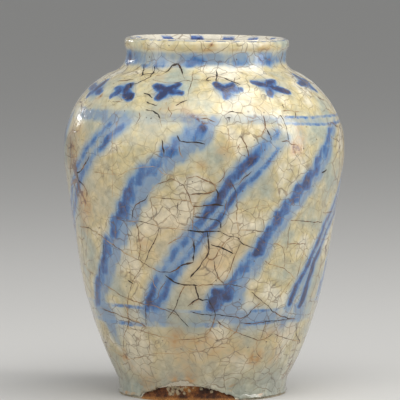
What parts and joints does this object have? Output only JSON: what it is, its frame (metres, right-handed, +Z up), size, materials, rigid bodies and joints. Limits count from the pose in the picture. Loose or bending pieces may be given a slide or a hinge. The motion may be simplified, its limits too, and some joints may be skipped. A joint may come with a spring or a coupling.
{
  "type": "ceramic jar",
  "caption": "Shouldered storage jar with a short neck and rolled lip, thrown in keyed sections on a foot ring, with cobalt brushwork under clear glaze.",
  "frame": {"origin": "middle of the foot's underside, on the surface that the jar stands on", "axes": "+Z up along the jar's axis, through the mouth; the front of the picture faces -Y, with +X to its right"},
  "size_m": [0.205, 0.205, 0.26],
  "materials": {
    "fritware": "bare fired fritware, porous, rust brown where it shows under the foot",
    "luting_clay": "fired luting clay, matt",
    "white_slip": "fine white quartz slip, matt",
    "cobalt_paint": "cobalt pigment brushed on the slip",
    "clear_glaze": "clear alkaline glaze, glossy and crazed",
    "inner_glaze": "thin glossy glaze over the pale body"
  },
  "bodies": {
    "root": {"foot_ring": "fritware", "foot_lute": "luting_clay", "lower_body": "fritware", "belly_lute": "luting_clay", "upper_body": "fritware", "neck_lute": "luting_clay", "neck_collar": "fritware", "white_slip": "white_slip", "cobalt_bands": "cobalt_paint", "cobalt_stepped_stripes": "cobalt_paint", "cobalt_ruled_stripes": "cobalt_paint", "cobalt_florets": "cobalt_paint", "outer_glaze": "clear_glaze", "inner_glaze": "inner_glaze"}
  },
  "joints": []
}
